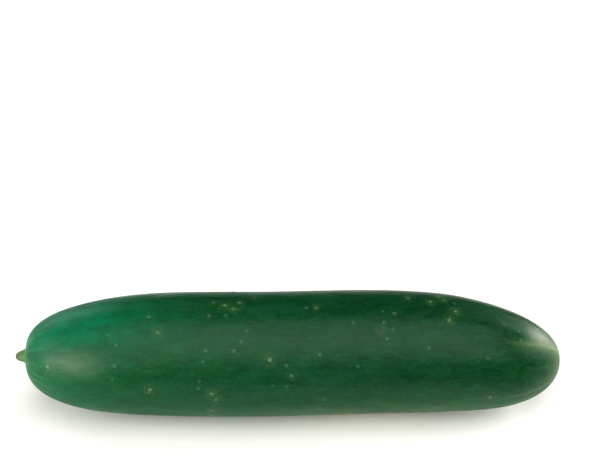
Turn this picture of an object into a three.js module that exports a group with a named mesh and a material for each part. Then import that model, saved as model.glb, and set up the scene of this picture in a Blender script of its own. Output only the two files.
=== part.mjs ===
// A slicing cucumber as picked: the fruit, and the stub of the stem that it hung by.
// It lies on its belly along X, with the stem end at -X and the blossom end at +X.
// Lengths are in millimetres and +Z is up. The origin is under the middle of the whole, on the ground.
import * as THREE from 'three';
import { mergeVertices } from 'three/addons/utils/BufferGeometryUtils.js';

// The fruit's outline
const FRUIT_LENGTH = 210;
const FRUIT_RADIUS = 24.75; // where it is thickest
const THICKEST_AT = 0.38; // share of the length, from the stem end
const STEM_CROWN = 2.91; // how late the stem half starts to narrow
const STEM_BLUNTNESS = 2.71; // how square its end is
const BLOSSOM_CROWN = 5.2;
const BLOSSOM_BLUNTNESS = 2.05;

// The fruit's section and its lie
const TRIGON_HEIGHT = 0.3; // the three seed chambers round the section into a soft triangle
const RIB_COUNT = 10; // one over each vein
const RIB_HEIGHT = 0.22;
const RIB_PHASE = THREE.MathUtils.degToRad(1); // the first rib, from +Y towards +Z
const STEM_RIBS_END = 0.16; // the ribs fade out at these shares of the length
const BLOSSOM_RIBS_START = 0.66;
const STEM_DRAW = 2.3; // both ends draw aside to -Y
const STEM_DRAW_ENDS = 0.615; // share of the length
const BLOSSOM_DRAW = 4.8;
const BLOSSOM_DRAW_STARTS = 0.772;
const WAVER = 0.5; // the middle line wavers a little from side to side as well
const WAVER_LENGTH = 0.46; // as a share of the length, as the next two are
const WAVER_START = 0.336;
const WAVER_FADE = 0.2; // from each end
const BELLY_FLAT = 0.5; // depth of the flat that the fruit lies on

// The hollow round the stem, and the scar that the blossom leaves
const HOLLOW = { rimRadius: 4.8, floorRadius: 3.7, depth: 0.9 };
const SCAR = { rimRadius: 3.6, floorRadius: 2.2, depth: 0.35 };

// The stem stub
const STUB_REACH = 3.9; // beyond the fruit's end
const STUB_FOOT_RADIUS = 3.15;
const STUB_NECK_RADIUS = 2.75;
const STUB_TIP_RADIUS = 1.4;
const STUB_FLARE = 5; // how late the foot spreads
const STUB_ANGLES = 5; // a cucumber's stem is five-sided
const STUB_ANGLE_SHARE = 0.07;
const STUB_CUT_SLANT = 0.22; // rise of the cut face over its width
const STUB_CUT_BEVEL = 0.5;
const SEAT_GAP = 0.3; // between the stub and the floor of the hollow

// How finely the surfaces are divided
const FRUIT_RINGS = 44;
const FRUIT_SIDES = 80;
const END_CROWDING = 0.85; // how far the rings crowd towards the two ends, from 0 to 1
const STUB_RINGS = 6;
const STUB_SIDES = 40;
const WELD_DISTANCE = 1e-4;

const MIDDLE_HEIGHT = FRUIT_RADIUS - TRIGON_HEIGHT - BELLY_FLAT;

const smooth = (value) => THREE.MathUtils.smoothstep(value, 0, 1);

/** The fruit's radius as a share of its largest, at a share of its length. */
function fullness(share) {
  if (share < THICKEST_AT) {
    const towardsStem = 1 - share / THICKEST_AT;
    return (1 - towardsStem ** STEM_CROWN) ** (1 / STEM_BLUNTNESS);
  }
  const towardsBlossom = (share - THICKEST_AT) / (1 - THICKEST_AT);
  return (1 - towardsBlossom ** BLOSSOM_CROWN) ** (1 / BLOSSOM_BLUNTNESS);
}

/** How far the middle of the section is drawn aside, towards -Y. */
function drawnAside(share) {
  const stemwards = smooth(1 - share / STEM_DRAW_ENDS);
  const blossomwards = smooth((share - BLOSSOM_DRAW_STARTS) / (1 - BLOSSOM_DRAW_STARTS));
  const fade = smooth(share / WAVER_FADE) * smooth((1 - share) / WAVER_FADE);
  const waver = Math.sin((2 * Math.PI * (share - WAVER_START)) / WAVER_LENGTH);
  return STEM_DRAW * stemwards + BLOSSOM_DRAW * blossomwards + WAVER * fade * waver;
}

/** How strongly the ribs stand out, from 0 along the middle to 1 at the ends. */
function ribStrength(share) {
  const atStem = smooth(1 - share / STEM_RIBS_END);
  const atBlossom = smooth((share - BLOSSOM_RIBS_START) / (1 - BLOSSOM_RIBS_START));
  return Math.max(atStem, atBlossom);
}

/** How far the skin stands out of a plain round section, at an angle from +Y towards +Z. */
function relief(share, around) {
  const trigon = TRIGON_HEIGHT * Math.cos(3 * (around - Math.PI / 2));
  const rib = RIB_HEIGHT * ribStrength(share) * Math.cos(RIB_COUNT * (around - RIB_PHASE));
  return fullness(share) * (trigon + rib);
}

/** The outline of a round dip in an end, from its middle to its rim: x is the radius and y the depth. */
function dipOutline({ rimRadius, floorRadius, depth }) {
  return [
    new THREE.Vector2(0, depth),
    new THREE.Vector2(floorRadius, depth),
    new THREE.Vector2(rimRadius, 0),
  ];
}

/** The fruit's outline, from the stem's hollow to the blossom scar: x is the radius and y the place along. */
function fruitOutline() {
  const outline = dipOutline(HOLLOW);
  for (let ring = 1; ring < FRUIT_RINGS; ring++) {
    const even = ring / FRUIT_RINGS;
    const share = even - (END_CROWDING * Math.sin(2 * Math.PI * even)) / (2 * Math.PI);
    outline.push(new THREE.Vector2(FRUIT_RADIUS * fullness(share), FRUIT_LENGTH * share));
  }
  for (const point of dipOutline(SCAR).reverse()) {
    outline.push(new THREE.Vector2(point.x, FRUIT_LENGTH - point.y));
  }
  return outline;
}

/** Lays a lathe's geometry along X and moves each point by shape(along, radius, around), its new place. */
function reshaped(geometry, shape) {
  const position = geometry.getAttribute('position');
  const point = new THREE.Vector3();
  for (let i = 0; i < position.count; i++) {
    point.fromBufferAttribute(position, i);
    const placed = shape(point.y, Math.hypot(point.x, point.z), Math.atan2(point.x, point.z));
    position.setXYZ(i, placed.x, placed.y, placed.z);
  }
  geometry.deleteAttribute('normal');
  geometry.deleteAttribute('uv');
  const merged = mergeVertices(geometry, WELD_DISTANCE);
  merged.computeVertexNormals();
  return merged;
}

/** The fruit, with its belly flattened on the ground. */
function fruitGeometry() {
  return reshaped(new THREE.LatheGeometry(fruitOutline(), FRUIT_SIDES), (along, radius, around) => {
    const share = along / FRUIT_LENGTH;
    const insideEnds = Math.min(1, (FRUIT_RADIUS * fullness(share)) / Math.max(radius, WELD_DISTANCE));
    const reach = radius + insideEnds * relief(share, around);
    return new THREE.Vector3(
      along,
      reach * Math.cos(around) - drawnAside(share),
      Math.max(0, MIDDLE_HEIGHT + reach * Math.sin(around)),
    );
  });
}

/** The stub's radius at a share of its way out, from 0 at the fruit to 1 at the cut. */
function stubRadius(out) {
  const taper = THREE.MathUtils.lerp(STUB_NECK_RADIUS, STUB_TIP_RADIUS, out);
  return taper + (STUB_FOOT_RADIUS - STUB_NECK_RADIUS) * (1 - out) ** STUB_FLARE;
}

/** The stub's outline from its cut end, at -STUB_REACH, to its foot in the hollow. */
function stubOutline() {
  const foot = HOLLOW.depth - SEAT_GAP;
  const outline = [
    new THREE.Vector2(0, -STUB_REACH),
    new THREE.Vector2(STUB_TIP_RADIUS - STUB_CUT_BEVEL, -STUB_REACH),
  ];
  for (let ring = STUB_RINGS; ring >= 0; ring--) {
    const out = ring / STUB_RINGS;
    outline.push(new THREE.Vector2(stubRadius(out), -out * (STUB_REACH - STUB_CUT_BEVEL)));
  }
  outline.push(new THREE.Vector2(STUB_FOOT_RADIUS, foot), new THREE.Vector2(0, foot));
  return outline;
}

function stubGeometry() {
  return reshaped(new THREE.LatheGeometry(stubOutline(), STUB_SIDES), (along, radius, around) => {
    const reach = radius * (1 + STUB_ANGLE_SHARE * Math.cos(STUB_ANGLES * around));
    const height = reach * Math.sin(around);
    const slant = STUB_CUT_SLANT * smooth(-along / STUB_REACH);
    return new THREE.Vector3(along + slant * height, reach * Math.cos(around), height);
  });
}

const skin = new THREE.MeshStandardMaterial({ name: 'skin', color: 0x1c4a2c, roughness: 0.38 });
const driedStem = new THREE.MeshStandardMaterial({ name: 'stem', color: 0x6d7440, roughness: 0.8 });

const fruit = new THREE.Mesh(fruitGeometry(), skin);
fruit.name = 'fruit';

const stemStub = new THREE.Mesh(stubGeometry(), driedStem);
stemStub.name = 'stem_stub';
stemStub.position.set(0, -drawnAside(0), MIDDLE_HEIGHT);

const cucumber = new THREE.Group();
cucumber.name = 'cucumber';
cucumber.add(fruit, stemStub);

const extent = new THREE.Box3().setFromObject(cucumber);
const middle = extent.getCenter(new THREE.Vector3());
for (const piece of cucumber.children) {
  piece.position.sub(new THREE.Vector3(middle.x, middle.y, extent.min.z));
}

export default cucumber;
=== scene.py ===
"""The looks of a slicing cucumber that lies on a pale floor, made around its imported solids.

Lengths are in metres and angles in radians, unless a comment says otherwise. +X runs along the fruit,
from the stem end to the blossom end, and +Z is up. A place on the fruit is given by its share of the
length, from the stem end, and its angle round the middle line, from +Y to +Z.
"""

import math
from collections import namedtuple

import bpy
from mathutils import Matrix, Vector, noise


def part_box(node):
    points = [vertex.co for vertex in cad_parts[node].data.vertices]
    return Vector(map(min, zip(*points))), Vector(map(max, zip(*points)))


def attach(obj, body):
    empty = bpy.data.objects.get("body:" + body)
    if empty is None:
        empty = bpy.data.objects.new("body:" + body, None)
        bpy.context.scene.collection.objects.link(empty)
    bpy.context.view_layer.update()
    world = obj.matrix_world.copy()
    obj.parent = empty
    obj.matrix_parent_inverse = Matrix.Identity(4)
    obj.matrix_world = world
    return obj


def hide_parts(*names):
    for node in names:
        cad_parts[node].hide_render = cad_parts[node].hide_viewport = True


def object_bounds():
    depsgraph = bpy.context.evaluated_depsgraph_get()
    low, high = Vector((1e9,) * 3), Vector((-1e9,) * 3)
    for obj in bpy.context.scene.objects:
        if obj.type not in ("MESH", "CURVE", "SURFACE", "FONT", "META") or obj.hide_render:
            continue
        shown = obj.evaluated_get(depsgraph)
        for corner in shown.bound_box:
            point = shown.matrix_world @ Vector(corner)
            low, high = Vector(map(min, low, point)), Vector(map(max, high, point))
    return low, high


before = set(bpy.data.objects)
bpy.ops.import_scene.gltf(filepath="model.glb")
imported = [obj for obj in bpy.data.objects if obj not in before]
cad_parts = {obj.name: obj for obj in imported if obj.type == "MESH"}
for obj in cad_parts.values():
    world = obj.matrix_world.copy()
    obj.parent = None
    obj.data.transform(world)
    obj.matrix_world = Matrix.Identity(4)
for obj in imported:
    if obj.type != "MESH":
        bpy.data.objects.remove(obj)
cad_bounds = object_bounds()

MM = 0.001
FULL_TURN = 2 * math.pi

# ---------------------------------------------------------------- sizes

fruit_low, fruit_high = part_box("fruit")
stub_low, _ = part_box("stem_stub")

BELLY_FLAT = 0.5 * MM  # how much of the round belly is pressed flat
TUBERCLE_HEIGHT = 0.18 * MM

FRUIT = {
    # The outline, as in the solids
    "Stem End": fruit_low.x,
    "Length": fruit_high.x - fruit_low.x,
    "Radius": (fruit_high.z + BELLY_FLAT) / 2,
    "Thickest At": 0.38,
    "Stem Crown": 2.91,
    "Stem Bluntness": 2.71,
    "Blossom Crown": 5.2,
    "Blossom Bluntness": 2.05,
    # The section and the lie, as in the solids
    "Trigon Height": 0.3 * MM,
    "Ribs": 10,
    "Rib Height": 0.22 * MM,
    "Rib Phase": math.radians(1),
    "Stem Ribs End": 0.16,
    "Blossom Ribs Start": 0.66,
    "Stem Draw": 2.3 * MM,
    "Stem Draw Ends": 0.615,
    "Blossom Draw": 4.8 * MM,
    "Blossom Draw Starts": 0.772,
    "Waver": 0.5 * MM,
    "Waver Length": 0.46,
    "Waver Start": 0.336,
    "Waver Fade": 0.2,
}


# ---------------------------------------------------------------- arithmetic in node trees


class Term:
    """A number that varies from point to point in a node tree. Arithmetic on it adds Math nodes."""

    def __init__(self, tree, socket):
        self.tree = tree
        self.socket = socket

    def math(self, operation, *others):
        return arithmetic(self.tree, operation, self, *others)

    def __add__(self, other):
        return self.math("ADD", other)

    def __sub__(self, other):
        return self.math("SUBTRACT", other)

    def __mul__(self, other):
        return self.math("MULTIPLY", other)

    def __truediv__(self, other):
        return self.math("DIVIDE", other)

    def __pow__(self, other):
        return self.math("POWER", other)

    def __radd__(self, other):
        return arithmetic(self.tree, "ADD", other, self)

    def __rsub__(self, other):
        return arithmetic(self.tree, "SUBTRACT", other, self)

    def __rmul__(self, other):
        return arithmetic(self.tree, "MULTIPLY", other, self)

    def __rtruediv__(self, other):
        return arithmetic(self.tree, "DIVIDE", other, self)

    def __neg__(self):
        return self.math("MULTIPLY", -1)

    def rise(self, start, end):
        """0 up to start and 1 from end, with a smooth rise between them."""
        settings = {"interpolation_type": "SMOOTHSTEP"}
        feeds = {"Value": self, "From Min": start, "From Max": end}
        return Term(self.tree, add_node(self.tree, "ShaderNodeMapRange", feeds, settings).outputs[0])


def feed(tree, socket, value):
    """Gives a node's input a value: a number, a vector, a Term or another node's output."""
    if isinstance(value, Term):
        value = value.socket
    if isinstance(value, bpy.types.NodeSocket):
        tree.links.new(value, socket)
    else:
        socket.default_value = value


def add_node(tree, kind, feeds=None, settings=None):
    """Adds a node, sets its options, and then feeds its inputs, by name or by number."""
    node = tree.nodes.new(kind)
    for name, value in (settings or {}).items():
        setattr(node, name, value)
    for name, value in (feeds or {}).items():
        feed(tree, node.inputs[name], value)
    return node


def arithmetic(tree, operation, *values):
    node = add_node(tree, "ShaderNodeMath", dict(enumerate(values)), {"operation": operation})
    return Term(tree, node.outputs[0])


def at_least(floor, value):
    if isinstance(value, Term):
        return value.math("MAXIMUM", floor)
    return max(floor, value)


def smooth(value):
    """0 up to 0 and 1 from 1, with a smooth rise between them."""
    if isinstance(value, Term):
        return value.rise(0, 1)
    value = min(max(value, 0), 1)
    return value * value * (3 - 2 * value)


def sine(value):
    return value.math("SINE") if isinstance(value, Term) else math.sin(value)


def bell(value, width):
    """1 where the value is 0, falling smoothly to 0 at the width on both sides."""
    return 1 - value.math("ABSOLUTE").rise(0, width)


def split(tree, vector):
    """A vector's three numbers."""
    node = add_node(tree, "ShaderNodeSeparateXYZ", {0: vector})
    return [Term(tree, socket) for socket in node.outputs]


def join(tree, x, y, z):
    return add_node(tree, "ShaderNodeCombineXYZ", {0: x, 1: y, 2: z}).outputs[0]


def scaled(tree, vector, factor):
    """A vector or a colour, times a number."""
    node = add_node(tree, "ShaderNodeVectorMath", {0: vector, "Scale": factor}, {"operation": "SCALE"})
    return node.outputs["Vector"]


def distance_between(tree, first, second):
    node = add_node(tree, "ShaderNodeVectorMath", {0: first, 1: second}, {"operation": "DISTANCE"})
    return Term(tree, node.outputs["Value"])


def noise_term(tree, vector, scale, detail=2):
    feeds = {"Vector": vector, "Scale": scale, "Detail": detail, "Roughness": 0.5}
    return Term(tree, add_node(tree, "ShaderNodeTexNoise", feeds).outputs[0])


# ---------------------------------------------------------------- the fruit's outline


def fullness(share, size):
    """The fruit's radius as a share of its largest."""
    thickest = size["Thickest At"]
    stemwards = at_least(0, 1 - share / thickest)
    blossomwards = at_least(0, (share - thickest) / (1 - thickest))
    stem_half = at_least(0, 1 - stemwards ** size["Stem Crown"])
    blossom_half = at_least(0, 1 - blossomwards ** size["Blossom Crown"])
    return stem_half ** (1 / size["Stem Bluntness"]) * blossom_half ** (1 / size["Blossom Bluntness"])


def drawn_aside(share, size):
    """How far the middle line is drawn towards -Y: towards both ends, and in a slight waver between them."""
    stemwards = smooth(1 - share / size["Stem Draw Ends"])
    blossomwards = smooth((share - size["Blossom Draw Starts"]) / (1 - size["Blossom Draw Starts"]))
    fade = smooth(share / size["Waver Fade"]) * smooth((1 - share) / size["Waver Fade"])
    waver = sine((share - size["Waver Start"]) / size["Waver Length"] * FULL_TURN)
    return size["Stem Draw"] * stemwards + size["Blossom Draw"] * blossomwards + size["Waver"] * fade * waver


def side_reach(share):
    """How far the skin reaches to the +Y side of Middle Y, at a share of the length."""
    return FRUIT["Radius"] * fullness(share, FRUIT) - drawn_aside(share, FRUIT)


OUTLINE_STEPS = 1000
FRUIT["Middle Y"] = fruit_high.y - max(side_reach(step / OUTLINE_STEPS) for step in range(OUTLINE_STEPS + 1))
FRUIT["Middle Height"] = fruit_high.z - FRUIT["Radius"] - FRUIT["Trigon Height"]


def skin_point(share, angle):
    """A point of the fruit's side, by its share of the length and its angle in degrees."""
    reach = FRUIT["Radius"] * fullness(share, FRUIT)
    turn = math.radians(angle)
    x = FRUIT["Stem End"] + share * FRUIT["Length"]
    y = FRUIT["Middle Y"] - drawn_aside(share, FRUIT) + reach * math.cos(turn)
    return Vector((x, y, FRUIT["Middle Height"] + reach * math.sin(turn)))


# ---------------------------------------------------------------- the fruit's mesh

SKIN = {
    "Rings": 386,
    "Sides": 256,
    "Ring Crowding": 0.6,
    "Second Crowding": 0.2,
    "Skin Inset": TUBERCLE_HEIGHT,
    "Swell Depth": 0.2 * MM,
    "Swell Scale": 1.1,
    "Swells": 8.0,
    # The hollow of the stem end, and the collar in it
    "Hollow Depth": 0.55 * MM,
    "Hollow Floor": 3.5 * MM,
    "Hollow Rim": 5.5 * MM,
    "Collar Height": 0.35 * MM,
    "Collar Radius": 3.3 * MM,
    "Collar Width": 0.8 * MM,
    # The blossom scar
    "Scar Depth": 0.45 * MM,
    "Scar Floor": 1.2 * MM,
    "Scar Rim": 3.4 * MM,
    "Scar Lip": 0.14 * MM,
    "Lip Radius": 2.3 * MM,
    "Lip Width": 0.6 * MM,
    # The tubercles, which are the low mounds that carried spines
    "Tubercle Height": TUBERCLE_HEIGHT,
    "Tubercle Radius": 1.5 * MM,
    "Tubercle Spacing": 2.8 * MM,
    "Tubercle Density": 18000.0,
    "Tubercles Start": 0.05,
    "Tubercles End": 0.93,
    "Cluster Scale": 62.0,
    "Sparse Below": 20 * MM,
    "Dense Above": 44 * MM,
    "Seed": 4,
    "Belly Rounding": 0.5 * MM,
}
DIPS_MEET = (0.2, 0.3)  # shares, well off both, between which the stem end's dips give way to the scar's
WEAKEST_SPINE = 0.12
SPINE_POWER = 2.2  # the higher, the fewer of the spines are strong


def new_tree(name, sizes):
    """A geometry tree with one named input for each of the sizes. Returns it and those inputs as Terms."""
    tree = bpy.data.node_groups.new(name, "GeometryNodeTree")
    for label, value in sizes.items():
        kind = "NodeSocketInt" if isinstance(value, int) else "NodeSocketFloat"
        tree.interface.new_socket(label, in_out="INPUT", socket_type=kind)
    tree.interface.new_socket("Geometry", in_out="OUTPUT", socket_type="NodeSocketGeometry")
    inside = tree.nodes.new("NodeGroupInput")
    return tree, {label: Term(tree, inside.outputs[label]) for label in sizes}


def finish_tree(tree, geometry, material):
    """Ends a geometry tree: smooth faces, real meshes and their material."""
    shaded = add_node(tree, "GeometryNodeSetShadeSmooth", {"Geometry": geometry})
    real = add_node(tree, "GeometryNodeRealizeInstances", {"Geometry": shaded.outputs[0]})
    feeds = {"Geometry": real.outputs[0], "Material": material}
    finished = add_node(tree, "GeometryNodeSetMaterial", feeds)
    feed(tree, tree.nodes.new("NodeGroupOutput").inputs["Geometry"], finished.outputs[0])


def grow(name, tree, sizes):
    """Runs a geometry tree with these sizes and returns what it makes as a plain mesh object."""
    piece = bpy.data.objects.new(name, bpy.data.meshes.new(name))
    bpy.context.scene.collection.objects.link(piece)
    modifier = piece.modifiers.new(tree.name, "NODES")
    modifier.node_group = tree
    for item in tree.interface.items_tree:
        if item.in_out == "INPUT":
            modifier[item.identifier] = sizes[item.name]
    depsgraph = bpy.context.evaluated_depsgraph_get()
    evaluated = piece.evaluated_get(depsgraph)
    mesh = bpy.data.meshes.new_from_object(evaluated, preserve_all_data_layers=True, depsgraph=depsgraph)
    piece.modifiers.clear()
    piece.data = mesh
    return piece


def position(tree):
    return tree.nodes.new("GeometryNodeInputPosition").outputs[0]


def moved(tree, geometry, **feeds):
    """A geometry whose points are put at a Position or moved by an Offset."""
    return add_node(tree, "GeometryNodeSetPosition", {"Geometry": geometry, **feeds}).outputs[0]


def store(tree, geometry, name, kind, value):
    feeds = {"Geometry": geometry, "Name": name, "Value": value}
    return add_node(tree, "GeometryNodeStoreNamedAttribute", feeds, {"data_type": kind}).outputs[0]


def sample(tree, geometry, index, kind, value):
    feeds = {"Geometry": geometry, "Value": value, "Index": index}
    return add_node(tree, "GeometryNodeSampleIndex", feeds, {"data_type": kind}).outputs[0]


def skin_reach(tree, share, around, size):
    """How far the skin lies from the middle line, with its three blunt sides, ribs and slight swells."""
    round_radius = fullness(share, size) * size["Radius"]
    trigon = size["Trigon Height"] * ((around - math.pi / 2) * 3).math("COSINE")
    stem_ribs = (size["Stem Ribs End"] - share).rise(0, size["Stem Ribs End"])
    rib_strength = stem_ribs.math("MAXIMUM", share.rise(size["Blossom Ribs Start"], 1))
    rib = size["Rib Height"] * rib_strength * ((around - size["Rib Phase"]) * size["Ribs"]).math("COSINE")
    direction = join(tree, share * size["Swells"], around.math("COSINE"), around.math("SINE"))
    swell = size["Swell Depth"] * (noise_term(tree, direction, size["Swell Scale"], detail=3) - 1) * 0.5
    return round_radius + fullness(share, size) * (trigon + rib + swell - size["Skin Inset"])


def end_dip(share, reach, size):
    """How far the skin of the ends moves along +X: in at the hollow and the scar, out at collar and lip."""
    stem_side = 1 - share.rise(*DIPS_MEET)
    hollow = size["Hollow Depth"] * (1 - reach.rise(size["Hollow Floor"], size["Hollow Rim"]))
    collar = size["Collar Height"] * bell(reach - size["Collar Radius"], size["Collar Width"])
    scar = size["Scar Depth"] * (1 - reach.rise(size["Scar Floor"], size["Scar Rim"]))
    lip = size["Scar Lip"] * bell(reach - size["Lip Radius"], size["Lip Width"])
    return stem_side * (hollow - collar) - (1 - stem_side) * (scar - lip)


def smooth_form(tree, size):
    """The fruit without its tubercles: a ball whose rings are spread along the fruit's outline."""
    feeds = {"Segments": size["Sides"], "Rings": size["Rings"], "Radius": 1}
    ball = add_node(tree, "GeometryNodeMeshUVSphere", feeds).outputs["Mesh"]
    across, up, along = split(tree, position(tree))
    even = (across**2 + up**2).math("SQRT").math("ARCTAN2", -along) / math.pi
    around = up.math("ARCTAN2", across)
    # The rings lie even along the middle and crowd towards both ends, where the outline turns in
    once = (even * FULL_TURN).math("SINE")
    twice = (even * 2 * FULL_TURN).math("SINE")
    share = even - (once * size["Ring Crowding"] + twice * size["Second Crowding"]) / FULL_TURN

    reach = skin_reach(tree, share, around, size)
    x = size["Stem End"] + share * size["Length"] + end_dip(share, reach, size)
    y = size["Middle Y"] - drawn_aside(share, size) + reach * around.math("COSINE")
    z = size["Middle Height"] + reach * around.math("SINE")
    return moved(tree, ball, Position=join(tree, x, y, z))


def spine_spots(tree, form, size):
    """Points of the skin where spines stood: in loose clusters, fewer low down and none at the ends."""
    place = position(tree)
    along, _, height = split(tree, place)
    share = (along - size["Stem End"]) / size["Length"]
    crowd = 0.2 + 0.8 * noise_term(tree, place, size["Cluster Scale"]).rise(0.44, 0.6)
    crowd = crowd * (0.3 + 0.8 * height.rise(size["Sparse Below"], size["Dense Above"]))
    crowd = crowd * share.math("GREATER_THAN", size["Tubercles Start"])
    crowd = crowd * share.math("LESS_THAN", size["Tubercles End"])
    feeds = {
        "Mesh": form,
        "Distance Min": size["Tubercle Spacing"],
        "Density Max": size["Tubercle Density"],
        "Density Factor": crowd,
        "Seed": size["Seed"],
    }
    return add_node(tree, "GeometryNodeDistributePointsOnFaces", feeds, {"distribute_method": "POISSON"})


def with_tubercles(tree, form, size):
    """Raises the low mounds that carried spines, and leaves on every point where its nearest spine stood."""
    spots = spine_spots(tree, form, size)
    # The node's second output is its random number, from 0 to 1
    drawn = Term(tree, add_node(tree, "FunctionNodeRandomValue", {"Seed": size["Seed"]}).outputs[1])
    strength = WEAKEST_SPINE + (1 - WEAKEST_SPINE) * drawn**SPINE_POWER
    raised = scaled(tree, spots.outputs["Normal"], size["Tubercle Height"] * strength)
    spines = moved(tree, spots.outputs["Points"], Offset=raised)
    place = position(tree)
    feeds = {"Geometry": spines, "Sample Position": place}
    nearest = add_node(tree, "GeometryNodeSampleNearest", feeds).outputs[0]
    tip = sample(tree, spines, nearest, "FLOAT_VECTOR", place)
    tip_strength = Term(tree, sample(tree, spines, nearest, "FLOAT", strength))
    away = distance_between(tree, tip, place)

    marked = store(tree, form, "spine_tip", "FLOAT_VECTOR", tip)
    marked = store(tree, marked, "spine_strength", "FLOAT", tip_strength)
    marked = store(tree, marked, "spine_distance", "FLOAT", away)
    mound = size["Tubercle Height"] * tip_strength * (1 - away.rise(0, size["Tubercle Radius"]))
    normal = tree.nodes.new("GeometryNodeInputNormal").outputs[0]
    return moved(tree, marked, Offset=scaled(tree, normal, mound))


def with_flat_belly(tree, form, size):
    """Presses the lowest part of the fruit flat on the ground."""
    x, y, z = split(tree, position(tree))
    return moved(tree, form, Position=join(tree, x, y, z.math("SMOOTH_MAX", 0, size["Belly Rounding"])))


def make_fruit(material):
    sizes = {**FRUIT, **SKIN}
    tree, size = new_tree("Fruit", sizes)
    form = smooth_form(tree, size)
    form = with_tubercles(tree, form, size)
    form = with_flat_belly(tree, form, size)
    finish_tree(tree, form, material)
    return grow("fruit_skin", tree, sizes)


# ---------------------------------------------------------------- the stem stub

STUB_REACH = fruit_low.x - stub_low.x
STUB_SEAT = 0.5 * MM
STUB_FOOT_RADIUS = 3.1 * MM
STUB_NECK_RADIUS = 2.75 * MM
STUB_TIP_RADIUS = 1.4 * MM
STUB_FLARE = 5
STUB_ANGLES = 5
STUB_ANGLE_DEPTH = 0.07  # as a share of the radius
STUB_FIBRE_DEPTH = 0.05 * MM
STUB_SHRINK_DEPTH = 0.12 * MM
STUB_END_ROUNDS_FROM = 0.6
STUB_END_ROUNDING = 0.75
STUB_DROOP = 0.25 * MM
STUB_TORN_OFF = 0.25 * MM
STUB_TORN_DEPTH = 0.2 * MM
STUB_RINGS = 48
STUB_SIDES = 120
# The rings of the torn end: each one's share of the rim's radius, and how far in it has sunk
PITH_RINGS = ((0.9, -0.06 * MM), (0.75, 0), (0.6, 0.12 * MM), (0.4, 0.3 * MM), (0.2, 0.38 * MM))


def stub_point(out, around, middle):
    """A point of the stub's side, at a share of its way out and an angle round it."""
    taper = STUB_NECK_RADIUS + (STUB_TIP_RADIUS - STUB_NECK_RADIUS) * out
    flare = (STUB_FOOT_RADIUS - STUB_NECK_RADIUS) * (1 - out) ** STUB_FLARE
    angles = 1 + STUB_ANGLE_DEPTH * math.cos(STUB_ANGLES * around)
    ring = Vector((math.cos(around), math.sin(around), 0))
    fibres = STUB_FIBRE_DEPTH * noise.noise(ring * 7 + Vector((0, 0, out * 0.8)))
    shrink = STUB_SHRINK_DEPTH * noise.noise(ring * 1.6 + Vector((0, 0, out * 3 + 5)))
    radius = (taper + flare) * angles + fibres + shrink * out
    rounding = max(0, out - STUB_END_ROUNDS_FROM) / (1 - STUB_END_ROUNDS_FROM)
    radius = radius * math.sqrt(1 - STUB_END_ROUNDING * rounding**2)
    torn = STUB_TORN_DEPTH * noise.noise(ring * 3 + Vector((9, 0, 0))) * out**6
    along = middle.x + STUB_SEAT - out * (STUB_REACH + STUB_SEAT - STUB_TORN_OFF) + torn
    droop = -STUB_DROOP * out**2
    return Vector((along, middle.y + radius * ring.x, middle.z + droop + radius * ring.y))


def stub_rings():
    """The stub's rings of points, from its foot to its torn end and in over the pith."""
    middle = Vector((fruit_low.x, FRUIT["Middle Y"] - drawn_aside(0, FRUIT), FRUIT["Middle Height"]))
    angles = [FULL_TURN * side / STUB_SIDES for side in range(STUB_SIDES)]
    ways_out = [ring / STUB_RINGS for ring in range(STUB_RINGS + 1)]
    rings = [[stub_point(out, around, middle) for around in angles] for out in ways_out]
    rim = rings[-1]
    centre = sum(rim, Vector()) / STUB_SIDES
    for share, sunk in PITH_RINGS:
        rings.append([centre.lerp(point, share) + Vector((sunk, 0, 0)) for point in rim])
    return rings


def make_stub(material):
    """The stub as a closed tube with five blunt angles and a torn, sunken end."""
    rings = stub_rings()
    vertices = [point for ring in rings for point in ring]
    faces = []
    for ring in range(len(rings) - 1):
        start, following = ring * STUB_SIDES, (ring + 1) * STUB_SIDES
        for side in range(STUB_SIDES):
            after = (side + 1) % STUB_SIDES
            faces.append((start + side, start + after, following + after, following + side))
    for ring in (0, len(rings) - 1):
        hub = len(vertices)
        vertices.append(sum(rings[ring], Vector()) / STUB_SIDES)
        start = ring * STUB_SIDES
        for side in range(STUB_SIDES):
            after = (side + 1) % STUB_SIDES
            corners = (start + side, start + after, hub)
            faces.append(corners if ring else corners[::-1])
    mesh = bpy.data.meshes.new("stem_stub_dried")
    mesh.from_pydata(vertices, [], faces)
    mesh.materials.append(material)
    mesh.shade_smooth()
    piece = bpy.data.objects.new("stem_stub_dried", mesh)
    bpy.context.scene.collection.objects.link(piece)
    return piece


# ---------------------------------------------------------------- material trees


def new_material(name):
    """A material with nothing but its output. Returns it, its tree and that output."""
    material = bpy.data.materials.new(name)
    material.use_nodes = True
    tree = material.node_tree
    tree.nodes.clear()
    return material, tree, tree.nodes.new("ShaderNodeOutputMaterial")


def set_surface(tree, output, feeds):
    """Ends a material with a Principled shader."""
    shader = add_node(tree, "ShaderNodeBsdfPrincipled", feeds)
    feed(tree, output.inputs["Surface"], shader.outputs[0])


def bump(tree, height):
    """A normal that follows a height in metres."""
    return add_node(tree, "ShaderNodeBump", {"Height": height, "Distance": 1.0, "Strength": 1.0}).outputs[0]


def rgba(colour):
    return (*colour, 1) if isinstance(colour, tuple) else colour


def mixed(tree, factor, first, second):
    """A colour between two colours."""
    # The node has sockets for every kind of value, and these are the ones for colours
    feeds = {0: factor, 6: rgba(first), 7: rgba(second)}
    return add_node(tree, "ShaderNodeMix", feeds, {"data_type": "RGBA"}).outputs[2]


def painted(tree, colour, *layers):
    """A colour under layers of paint, each a mask and the paint's own colour."""
    for mask, paint in layers:
        colour = mixed(tree, mask, colour, paint)
    return colour


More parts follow.
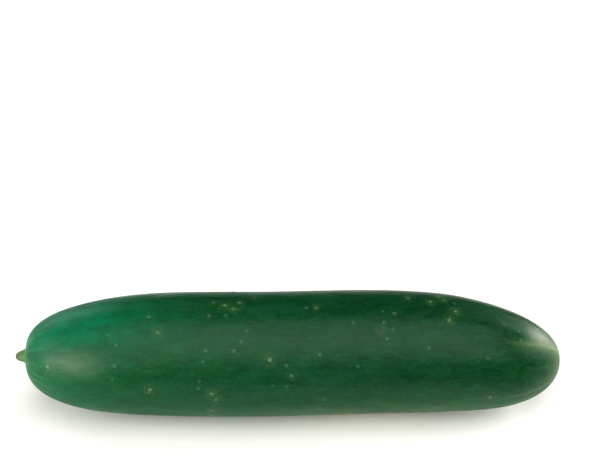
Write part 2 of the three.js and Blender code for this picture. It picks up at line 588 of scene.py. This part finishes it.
def gradient(tree, factor, stops):
    """A colour that follows a factor through stops, each a place and a colour."""
    node = add_node(tree, "ShaderNodeValToRGB", {"Fac": factor})
    elements = node.color_ramp.elements
    for place, _ in stops[1:-1]:
        elements.new(place)
    for element, (place, colour) in zip(elements, stops):
        element.position = place
        element.color = rgba(colour)
    return node.outputs["Color"]


def attribute(tree, name, output):
    return add_node(tree, "ShaderNodeAttribute", settings={"attribute_name": name}).outputs[output]


def new_group(name, inputs, output):
    """A group of shader nodes with named inputs, given with their values, and one output. Returns both."""
    tree = bpy.data.node_groups.new(name, "ShaderNodeTree")
    for label, value in inputs.items():
        kind = "NodeSocketVector" if isinstance(value, tuple) else "NodeSocketFloat"
        tree.interface.new_socket(label, in_out="INPUT", socket_type=kind).default_value = value
    tree.interface.new_socket(output, in_out="OUTPUT", socket_type="NodeSocketFloat")
    inside = tree.nodes.new("NodeGroupInput")
    return tree, {label: Term(tree, inside.outputs[label]) for label in inputs}


def finish_group(tree, value):
    feed(tree, tree.nodes.new("NodeGroupOutput").inputs[0], value)
    return tree


def place_group(tree, group, feeds):
    """Places a group in a material with its own values, and returns what it puts out."""
    return Term(tree, add_node(tree, "ShaderNodeGroup", feeds, {"node_tree": group}).outputs[0])


def make_lengthwise_grain():
    """Noise from 0 to 1 whose patches are drawn out along X. Length and Width are a patch's, in metres."""
    inputs = {"Point": (0.0, 0.0, 0.0), "Length": 0.005, "Width": 0.002, "Detail": 2.0, "Seed": 0.0}
    tree, given = new_group("Lengthwise Grain", inputs, "Grain")
    x, y, z = split(tree, given["Point"])
    drawn = join(tree, x / given["Length"], y / given["Width"], z / given["Width"])
    feeds = {"Vector": drawn, "W": given["Seed"], "Scale": 1.0, "Detail": given["Detail"], "Roughness": 0.55}
    texture = add_node(tree, "ShaderNodeTexNoise", feeds, {"noise_dimensions": "4D"})
    return finish_group(tree, texture.outputs[0])


def make_patches():
    """Where a patch of a grain shows, from 0 to 1: on a Share of the surface and with a soft Edge."""
    tree, given = new_group("Patches", {"Grain": 0.5, "Share": 0.5, "Edge": 0.1}, "Mask")
    # A grain's values crowd round its middle, so the level for a share is closer to the middle too
    level = 0.5 - (given["Share"] - 0.5) * 0.42
    return finish_group(tree, given["Grain"].rise(level - given["Edge"] / 2, level + given["Edge"] / 2))


lengthwise_grain = make_lengthwise_grain()
grain_patches = make_patches()


def grain(tree, point, length, width, detail, seed):
    """Lengthwise grain. A patch's length and width are in millimetres."""
    feeds = {"Point": point, "Length": length * MM, "Width": width * MM, "Detail": detail, "Seed": seed}
    return place_group(tree, lengthwise_grain, feeds)


def patches(tree, grain_value, share, edge):
    return place_group(tree, grain_patches, {"Grain": grain_value, "Share": share, "Edge": edge})


# ---------------------------------------------------------------- the skin

# Colours are linear red, green and blue. These follow the length, each with its share
GROUND_GREENS = (
    (0.0, (0.010, 0.130, 0.050)),
    (0.08, (0.002, 0.110, 0.039)),
    (0.2, (0.001, 0.082, 0.023)),
    (0.41, (0.001, 0.065, 0.020)),
    (0.7, (0.001, 0.053, 0.017)),
    (0.92, (0.002, 0.055, 0.018)),
    (0.965, (0.008, 0.078, 0.026)),
    (0.985, (0.060, 0.140, 0.056)),
    (1.0, (0.135, 0.200, 0.098)),
)
TOP_LIGHT_TEAL = (0.001, 0.172, 0.086)
STEM_BELLY_GREEN = (0.005, 0.130, 0.044)
BLOSSOM_BELLY_GREEN = (0.022, 0.136, 0.037)
BED_YELLOW = (0.230, 0.245, 0.110)
OLIVE = (0.007, 0.088, 0.016)
BLUE_GREEN = (0.002, 0.082, 0.040)
BLOOM_GREY = (0.012, 0.096, 0.052)
RUSSET = (0.012, 0.076, 0.023)
MOTTLE_GREEN = (0.030, 0.140, 0.060)
BRUSHED_GREEN = (0.034, 0.160, 0.068)
RUB_AND_HIGHLIGHT_GREY = (0.074, 0.132, 0.064)
BLOSSOM_RAY_GREEN = (0.110, 0.230, 0.090)
STEM_RAY_GREEN = (0.070, 0.240, 0.110)
VEIN_CREAM = (0.24, 0.33, 0.14)
WAX_AND_HIGHLIGHT_WHITE = (0.300, 0.330, 0.250)
RIM_AND_REFLECTION_GREY = (0.110, 0.150, 0.085)
COLLAR_GREEN = (0.150, 0.330, 0.160)
HALO_OLIVE = (0.058, 0.105, 0.030)
FRECKLE_YELLOW = (0.150, 0.240, 0.080)
SPECK_GREY = (0.25, 0.40, 0.28)
SMUDGE_GREY = (0.090, 0.130, 0.100)
NICK_GREEN = (0.010, 0.045, 0.022)
DARK_CORK = (0.13, 0.09, 0.035)
PALE_CORK = (0.46, 0.38, 0.20)
PIT_CORK = (0.07, 0.05, 0.02)

# Each vein's angle in degrees, the shares where it starts and shows in full, its width and how far it
# bends aside at the tip in millimetres, and its strength. The last four are the stem end's
VEINS = (
    (123.3, 0.87, 0.985, 1.9, 2.3, 1.0),
    (124, 0.89, 0.97, 4.0, 2.3, 0.5),
    (-167, 0.86, 0.99, 0.9, 0, 0.35),
    (155, 0.90, 1.0, 0.8, 0, 0.12),
    (83, 0.84, 0.99, 1.0, 0, 0.35),
    (47, 0.80, 0.98, 1.3, 0, 0.6),
    (11, 0.88, 0.99, 0.9, 0, 0.4),
    (-25, 0.84, 0.98, 1.2, 0, 0.5),
    (-61, 0.87, 0.99, 1.0, 0, 0.45),
    (-97, 0.82, 0.98, 1.3, 0, 0.5),
    (-133, 0.88, 0.99, 0.9, 0, 0.4),
    (108, 0.045, 0.012, 1.0, 0, 0.3),
    (20, 0.055, 0.012, 0.9, 0, 0.25),
    (-48, 0.04, 0.010, 1.1, 0, 0.2),
    (-140, 0.06, 0.015, 0.9, 0, 0.25),
)

NICK = skin_point(0.6597, 118.5)
NICK_INSIDE, NICK_OUTSIDE = 0.2 * MM, 1.6 * MM
SMUDGE = skin_point(0.6622, 120)
SMUDGE_INSIDE, SMUDGE_OUTSIDE = 1.0 * MM, 3.2 * MM
COLLAR_INSIDE, COLLAR_OUTSIDE = 2.8 * MM, 5.0 * MM
HALO_INSIDE, HALO_OUTSIDE = 0.6 * MM, 4.4 * MM
SPECK_CORE = 0.1 * MM
SPECK_RADIUS = 1.05 * MM
STRONG_SPECK_MORE = 0.15 * MM
SPECK_BOUND_INSIDE, SPECK_BOUND_OUTSIDE = 1.1 * MM, 1.6 * MM
SCAR_INSIDE, SCAR_OUTSIDE = 2.0 * MM, 2.7 * MM
PIT_INSIDE, PIT_OUTSIDE = 0.3 * MM, 1.3 * MM
PORE_DEPTH = 0.05 * MM
RIPPLE_DEPTH = 0.2 * MM
FINE_DEPTH = 0.01 * MM
VEIN_HEIGHT = 0.02 * MM
CORK_DEPTH = 0.25 * MM
VEIN_WANDER = 1.4 * MM
RAY_CHANGES = 2.5  # how often the rays change from end to end
COLLAR_RAGGEDNESS = 2.4 * MM
NICK_RAGGEDNESS = 1.8 * MM
SCAR_RAGGEDNESS = 1.6 * MM
SKIN_ROUGHNESS = 0.36
SKIN_IOR = 1.42

# Where a point of the skin lies: its place, its share of the length, its angle and how far it is from
# the middle line
Spot = namedtuple("Spot", "point share around off_axis")


def find_spot(tree):
    point = tree.nodes.new("ShaderNodeTexCoord").outputs["Object"]
    x, y, z = split(tree, point)
    share = (x - FRUIT["Stem End"]) / FRUIT["Length"]
    across = y - FRUIT["Middle Y"] + drawn_aside(share, FRUIT)
    up = z - FRUIT["Middle Height"]
    return Spot(point, share, up.math("ARCTAN2", across), (across**2 + up**2).math("SQRT"))


def turned_from(spot, angle):
    """How far a spot is turned from an angle in degrees, in radians and never more than half a turn."""
    return (spot.around - math.radians(angle)).math("COSINE").math("ARCCOSINE")


def facing(spot, angle, full, none):
    """1 round an angle in degrees, fading between two turns from it, in radians, and 0 beyond them."""
    return 1 - turned_from(spot, angle).rise(full, none)


def make_vein():
    """A pale line along the fruit at one angle, from where it starts to where it shows in full, as shares."""
    inputs = {"Point": (0.0, 0.0, 0.0), "Share": 0.0, "Around": 0.0, "Off Axis": 0.0, "Angle": 0.0}
    inputs.update({"Start": 0.85, "Full": 1.0, "Width": 0.001, "Bend": 0.0})
    tree, given = new_group("Vein", inputs, "Line")
    point, share, angle = given["Point"], given["Share"], given["Angle"]
    wander = (grain(tree, point, length=16, width=16, detail=2, seed=angle) - 0.5) * VEIN_WANDER
    turn = given["Around"] - angle
    aside = turn.math("SINE") * given["Off Axis"] + wander + share.rise(0.89, 1.0) * given["Bend"]
    near_side = turn.math("COSINE").math("GREATER_THAN", 0)
    width = given["Width"] * (0.35 + 1.3 * grain(tree, point, length=6, width=1.2, detail=3, seed=angle + 3))
    line = 1 - aside.math("ABSOLUTE").rise(width * 0.1, width)
    frayed = 0.55 + 0.9 * (grain(tree, point, length=4, width=0.5, detail=2, seed=angle + 5) - 0.25)
    return finish_group(tree, line * frayed * near_side * share.rise(given["Start"], given["Full"]))


single_vein = make_vein()


def pale_veins(tree, spot):
    """How strongly the pale veins of both ends show."""
    place = {"Point": spot.point, "Share": spot.share, "Around": spot.around, "Off Axis": spot.off_axis}
    lines = []
    for angle, start, full, width, bend, strength in VEINS:
        feeds = {**place, "Angle": math.radians(angle), "Start": start, "Full": full}
        feeds.update({"Width": width * MM, "Bend": bend * MM})
        lines.append(place_group(tree, single_vein, feeds) * strength)
    veins = lines[0]
    for line in lines[1:]:
        veins = veins.math("MAXIMUM", line)
    return veins


def rays(tree, spot, count, seed):
    """Fine streaks that run along the fruit and meet at its ends."""
    across, up = spot.around.math("COSINE") * count, spot.around.math("SINE") * count
    return noise_term(tree, join(tree, across, up, spot.share * RAY_CHANGES + seed), scale=1, detail=3)


def ground_colour(tree, spot):
    """The green along the fruit, with painted light that makes the top near the stem lighter and bluer, and
    paler below.
    """
    share = spot.share
    # Painted light: the top near the stem is lighter and bluer, as if lit from above
    painted_top_light = facing(spot, 88, 0.35, 1.0) * (1 - share.rise(0.08, 0.36))
    below = facing(spot, -90, 0.7, 1.75) * share.rise(0.05, 0.6)
    belly_green = mixed(tree, share.rise(0.3, 0.7), STEM_BELLY_GREEN, BLOSSOM_BELLY_GREEN)
    # The yellowish patch on which it lay as it grew
    bed = facing(spot, -92, 0.45, 1.35) * bell(share - 0.66, 0.25)
    uneven = patches(tree, grain(tree, spot.point, length=26, width=9, detail=3, seed=4), share=0.6, edge=0.3)
    return painted(
        tree,
        gradient(tree, share, GROUND_GREENS),
        (painted_top_light * 0.9, TOP_LIGHT_TEAL),
        (below * (0.35 + 0.45 * uneven), belly_green),
        (bed * (0.3 + 0.6 * uneven), BED_YELLOW),
    )


def clouded(tree, spot, green, bloom):
    """A green with clouds of olive, of blue green, of grey bloom and of russet."""
    point = spot.point
    olive = patches(tree, grain(tree, point, length=17, width=8, detail=3, seed=1), share=0.32, edge=0.22)
    blue = patches(tree, grain(tree, point, length=14, width=7, detail=3, seed=13), share=0.3, edge=0.22)
    russet = patches(tree, grain(tree, point, length=4.2, width=3, detail=3, seed=15), share=0.35, edge=0.25)
    return painted(
        tree,
        green,
        (olive * 0.42, OLIVE),
        (blue * 0.3, BLUE_GREEN),
        (bloom * 0.25, BLOOM_GREY),
        (russet * 0.3, RUSSET),
    )


def mottled(tree, spot, green, mottle, brushed):
    """A green that varies in ever finer patches, with brushed lines, most of them near the ends."""
    swathes = grain(tree, spot.point, length=11, width=4, detail=3, seed=3)
    blotches = grain(tree, spot.point, length=5, width=2.8, detail=3, seed=7)
    shade = 1 + (swathes - 0.5) * 0.6 + (blotches - 0.5) * 0.5 + (mottle - 0.5) * 0.4
    near_ends = spot.share.rise(0.75, 0.97).math("MAXIMUM", 1 - spot.share.rise(0.02, 0.22))
    return painted(
        tree,
        scaled(tree, green, shade),
        ((mottle - 0.47).rise(0, 0.25) * 0.16, MOTTLE_GREEN),
        ((brushed - 0.5).rise(0, 0.22) * (0.1 + 0.3 * near_ends), BRUSHED_GREEN),
    )


def with_end_marks(tree, spot, green, veins, brushed):
    """A green with what marks the two ends, and with the painted highlights and the painted reflection there.
    """
    share = spot.share
    # A pale grey patch beside the stem, partly a rub mark and partly a painted highlight of the light from
    # the front left
    rub_and_highlight = facing(spot, 149, 0.1, 0.45) * share.rise(0.03, 0.08) * (1 - share.rise(0.1, 0.18))
    rub_unevenness = patches(tree, grain(tree, spot.point, length=5, width=2, detail=4, seed=14), share=0.6, edge=0.5)
    blossom_rays = rays(tree, spot, count=5, seed=40).rise(0.5, 0.7) * share.rise(0.92, 0.99)
    stem_rays = rays(tree, spot, count=6, seed=50).rise(0.48, 0.66) * (1 - share.rise(0.004, 0.075))
    # A painted highlight on the shoulder of the blossom end, standing in for a strong light from the back
    # right, and partly a pale waxy bloom
    wax_and_highlight = bell(turned_from(spot, 101) + (brushed - 0.5) * 0.3, 0.44) * bell(share - 0.961, 0.037)
    # A pale grey on the lower rim of the blossom end, partly pigment and partly a painted reflection of the
    # bright floor
    rim_and_reflection = facing(spot, -155, 0.3, 0.9) * share.rise(0.915, 0.975)
    # The collar round the stem, which is palest on top
    edge = grain(tree, spot.point, length=2, width=2, detail=2, seed=16)
    ragged = spot.off_axis + (edge - 0.5) * COLLAR_RAGGEDNESS
    collar = (1 - ragged.rise(COLLAR_INSIDE, COLLAR_OUTSIDE)) * (1 - share.rise(0.02, 0.04))
    return painted(
        tree,
        green,
        (rub_and_highlight * (0.35 + 0.65 * rub_unevenness) * 0.6, RUB_AND_HIGHLIGHT_GREY),
        (blossom_rays * 0.27, BLOSSOM_RAY_GREEN),
        (stem_rays * 0.4, STEM_RAY_GREEN),
        (veins * 0.75, VEIN_CREAM),
        (wax_and_highlight * 0.8, WAX_AND_HIGHLIGHT_WHITE),
        (rim_and_reflection * 0.32, RIM_AND_REFLECTION_GREY),
        (collar * (0.62 + 0.3 * spot.around.math("SINE")), COLLAR_GREEN),
    )


def with_specks(tree, spot, green, mottle):
    """A green with corky specks where spines stood, the strong ones freckled. Returns it and their mask."""
    point = spot.point
    tip = attribute(tree, "spine_tip", "Vector")
    strength = Term(tree, attribute(tree, "spine_strength", "Fac"))
    near = Term(tree, attribute(tree, "spine_distance", "Fac"))
    halo = (1 - near.rise(HALO_INSIDE, HALO_OUTSIDE)) * (strength - 0.22).rise(0, 0.5)
    dots = grain(tree, point, length=0.8, width=0.7, detail=1, seed=23)
    freckles = patches(tree, dots, share=0.3, edge=0.2)
    away = distance_between(tree, point, tip)
    speck = 1 - away.rise(SPECK_CORE, SPECK_RADIUS + STRONG_SPECK_MORE * strength)
    # Halfway to the next spine the tip jumps to that one, so nothing is drawn out there
    speck = speck * (1 - near.rise(SPECK_BOUND_INSIDE, SPECK_BOUND_OUTSIDE)) * (0.1 + 0.28 * strength)
    green = painted(
        tree,
        green,
        (halo * patches(tree, mottle, share=0.6, edge=0.4) * 0.4, HALO_OLIVE),
        (halo * freckles * 0.3, FRECKLE_YELLOW),
        (speck, SPECK_GREY),
    )
    return green, speck


def with_nick(tree, spot, green):
    """A green with a healed nick: a dark point in a soft grey smudge."""
    edge = (grain(tree, spot.point, length=1.6, width=1.4, detail=2, seed=17) - 0.5) * NICK_RAGGEDNESS
    from_smudge = distance_between(tree, spot.point, tuple(SMUDGE)) + edge
    from_nick = distance_between(tree, spot.point, tuple(NICK)) + edge
    return painted(
        tree,
        green,
        ((1 - from_smudge.rise(SMUDGE_INSIDE, SMUDGE_OUTSIDE)) * 0.3, SMUDGE_GREY),
        ((1 - from_nick.rise(NICK_INSIDE, NICK_OUTSIDE)) * 0.55, NICK_GREEN),
    )


def with_scar(tree, spot, green):
    """A green with the corky blossom scar, darker in the middle and ragged. Returns it and its mask."""
    edge = grain(tree, spot.point, length=0.9, width=0.9, detail=3, seed=8)
    ragged = spot.off_axis + (edge - 0.5) * SCAR_RAGGEDNESS
    scar = (1 - ragged.rise(SCAR_INSIDE, SCAR_OUTSIDE)) * spot.share.rise(0.9, 0.95)
    cork = mixed(tree, grain(tree, spot.point, length=0.5, width=0.5, detail=3, seed=9), DARK_CORK, PALE_CORK)
    cork = mixed(tree, 1 - ragged.rise(PIT_INSIDE, PIT_OUTSIDE), cork, PIT_CORK)
    return mixed(tree, scar, green, cork), scar


def skin_relief(tree, spot, veins, scar, mottle):
    """The height of the skin's pores, ripples and fine grain, of the veins and of the scar's cork."""
    pores = grain(tree, spot.point, length=1.3, width=1.0, detail=3, seed=10)
    ripples = grain(tree, spot.point, length=9, width=4, detail=2, seed=11)
    fine = grain(tree, spot.point, length=0.45, width=0.35, detail=2, seed=12)
    height = pores * PORE_DEPTH + ripples * RIPPLE_DEPTH + fine * FINE_DEPTH + veins * VEIN_HEIGHT
    return height + scar * (mottle - 0.5) * CORK_DEPTH


def make_skin():
    """Waxy, deep green skin, with pale veins at both ends, spine specks and the blossom scar."""
    material, tree, output = new_material("waxy_skin")
    spot = find_spot(tree)
    mottle = grain(tree, spot.point, length=1.7, width=1.1, detail=3, seed=5)
    brushed = grain(tree, spot.point, length=9, width=0.7, detail=3, seed=6)
    bloom = patches(tree, grain(tree, spot.point, length=24, width=6, detail=4, seed=2), share=0.4, edge=0.3)
    veins = pale_veins(tree, spot)

    green = ground_colour(tree, spot)
    green = clouded(tree, spot, green, bloom)
    green = mottled(tree, spot, green, mottle, brushed)
    green = with_end_marks(tree, spot, green, veins, brushed)
    green, speck = with_specks(tree, spot, green, mottle)
    green = with_nick(tree, spot, green)
    green, scar = with_scar(tree, spot, green)

    roughness = SKIN_ROUGHNESS + bloom * 0.12 + (mottle - 0.5) * 0.2 + speck * 0.2 + scar * 0.35
    roughness = roughness + (1 - spot.share.rise(0, 0.2)) * 0.06
    normal = bump(tree, skin_relief(tree, spot, veins, scar, mottle))
    feeds = {"Base Color": green, "Roughness": roughness, "Normal": normal, "IOR": SKIN_IOR}
    set_surface(tree, output, feeds)
    return material


# ---------------------------------------------------------------- the dried stem

# From the fruit to the torn end, each with its share of the way out
STEM_COLOURS = (
    (0.0, (0.110, 0.270, 0.100)),
    (0.2, (0.092, 0.215, 0.080)),
    (0.45, (0.130, 0.210, 0.095)),
    (0.65, (0.138, 0.190, 0.095)),
    (0.85, (0.105, 0.120, 0.070)),
    (0.97, (0.190, 0.195, 0.140)),
)
FIBRE_BROWN = (0.065, 0.095, 0.036)
FLECK_GREEN = (0.20, 0.24, 0.13)
FIBRE_DEPTH = 0.12 * MM
STEM_GRAIN_DEPTH = 0.03 * MM
STEM_ROUGHNESS = 0.72


def make_dried_stem():
    """Green where the stub leaves the fruit, drying to olive brown, with fibres and a pale torn end."""
    material, tree, output = new_material("dried_stem")
    point = tree.nodes.new("ShaderNodeTexCoord").outputs["Object"]
    x, _, _ = split(tree, point)
    fibres = grain(tree, point, length=2.5, width=0.28, detail=3, seed=20)
    flecks = grain(tree, point, length=0.6, width=0.5, detail=2, seed=21)
    colour = painted(
        tree,
        gradient(tree, (fruit_low.x - x) / STUB_REACH, STEM_COLOURS),
        (patches(tree, fibres, share=0.4, edge=0.2) * 0.4, FIBRE_BROWN),
        (patches(tree, flecks, share=0.3, edge=0.1) * 0.3, FLECK_GREEN),
    )
    fine = grain(tree, point, length=0.4, width=0.3, detail=2, seed=22)
    normal = bump(tree, fibres * FIBRE_DEPTH + fine * STEM_GRAIN_DEPTH)
    set_surface(tree, output, {"Base Color": colour, "Roughness": STEM_ROUGHNESS, "Normal": normal})
    return material


# ---------------------------------------------------------------- the studio

PICTURE_WIDTH, PICTURE_HEIGHT = 592, 475
LENS = 120
SENSOR = 36
CAMERA_ELEVATION = math.radians(40)
CAMERA_TURN = math.radians(0.35)
CAMERA_DISTANCE = 0.7798
FRAMED_LOW = 0.2402  # how far the middle stands below the picture's middle, as a share of its height
FRAMED_LEFT = 0.0195  # and to its left, as a share of its width

LIGHT_DISTANCE = 2.4
# Each softbox's azimuth and elevation in degrees, its width and height, and its level
SOFTBOXES = {
    "key": (4, 65, 1.7, 2.8, 0.5),
    "front": (0, 28, 2.0, 1.0, 0.06),
    "left": (-39, 14, 1.35, 1.1, 0.43),
    "left_side": (-66, 22, 1.7, 1.4, 0.44),
    "left_back": (-143, 24, 1.4, 1.2, 0.16),
    "right_side": (82, 30, 1.6, 1.4, 0.22),
    "right_low": (118, 8, 2.2, 0.9, 0.28),
    "right_back": (122, 30, 1.9, 1.2, 0.38),
}
ROOM_GLOW = 0.01

FLOOR_REACH = 4.0
FLOOR_FRONT = 0.12  # in front of this the floor has ended and the pale room shows
PAPER_WHITE = (0.98, 0.95, 0.92)
PAPER_ROUGHNESS = 0.9


def add_camera():
    low, high = cad_bounds
    target = (low + high) / 2
    data = bpy.data.cameras.new("camera")
    data.lens = LENS
    data.sensor_width = SENSOR
    camera = bpy.data.objects.new("camera", data)
    level = math.cos(CAMERA_ELEVATION)
    back = Vector((math.sin(CAMERA_TURN) * level, -math.cos(CAMERA_TURN) * level, math.sin(CAMERA_ELEVATION)))
    camera.location = target + back * CAMERA_DISTANCE
    raised = math.atan(FRAMED_LOW * SENSOR * PICTURE_HEIGHT / PICTURE_WIDTH / LENS)
    turned = math.atan(FRAMED_LEFT * SENSOR / LENS)
    camera.rotation_euler = (math.pi / 2 - CAMERA_ELEVATION + raised, 0, CAMERA_TURN - turned)
    bpy.context.scene.collection.objects.link(camera)
    bpy.context.scene.camera = camera


def add_softbox(name, azimuth, elevation, width, height, level):
    """A soft light that faces the fruit. Azimuth 0 is the camera's side and 90 is +X.

    The level is how bright a white card would look that faces the light alone.
    """
    data = bpy.data.lights.new(name, "AREA")
    data.shape = "RECTANGLE"
    data.size = width
    data.size_y = height
    data.energy = level * (math.pi * LIGHT_DISTANCE) ** 2
    light = bpy.data.objects.new(name, data)
    turn, rise = math.radians(azimuth), math.radians(elevation)
    away = Vector((math.sin(turn) * math.cos(rise), -math.cos(turn) * math.cos(rise), math.sin(rise)))
    light.location = away * LIGHT_DISTANCE
    light.rotation_euler = away.to_track_quat("Z", "Y").to_euler()
    bpy.context.scene.collection.objects.link(light)


def add_floor():
    mesh = bpy.data.meshes.new("floor")
    near, far = -FLOOR_FRONT, FLOOR_REACH
    corners = [(-FLOOR_REACH, near, 0), (FLOOR_REACH, near, 0), (FLOOR_REACH, far, 0), (-FLOOR_REACH, far, 0)]
    mesh.from_pydata(corners, [], [(0, 1, 2, 3)])
    material, tree, output = new_material("white_paper")
    set_surface(tree, output, {"Base Color": rgba(PAPER_WHITE), "Roughness": PAPER_ROUGHNESS})
    mesh.materials.append(material)
    floor = bpy.data.objects.new("floor", mesh)
    bpy.context.scene.collection.objects.link(floor)


def add_world():
    """A white room that is seen but gives hardly any light of its own."""
    world = bpy.data.worlds.new("studio")
    world.use_nodes = True
    tree = world.node_tree
    tree.nodes.clear()
    seen = add_node(tree, "ShaderNodeBackground", {"Color": (1, 1, 1, 1), "Strength": 1.0})
    felt = add_node(tree, "ShaderNodeBackground", {"Color": (1, 1, 1, 1), "Strength": ROOM_GLOW})
    looking = tree.nodes.new("ShaderNodeLightPath").outputs["Is Camera Ray"]
    room = add_node(tree, "ShaderNodeMixShader", {0: looking, 1: felt.outputs[0], 2: seen.outputs[0]})
    feed(tree, tree.nodes.new("ShaderNodeOutputWorld").inputs["Surface"], room.outputs[0])
    bpy.context.scene.world = world


# ---------------------------------------------------------------- the scene

add_camera()
add_world()
add_floor()
for name, softbox in SOFTBOXES.items():
    add_softbox(name, *softbox)
bpy.context.scene.view_settings.view_transform = "Standard"
bpy.context.scene.view_settings.look = "High Contrast"

fruit = make_fruit(make_skin())
stub = make_stub(make_dried_stem())
for piece, node, slot in ((fruit, "fruit", "skin"), (stub, "stem_stub", "stem")):
    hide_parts(node)
    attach(piece, "root")
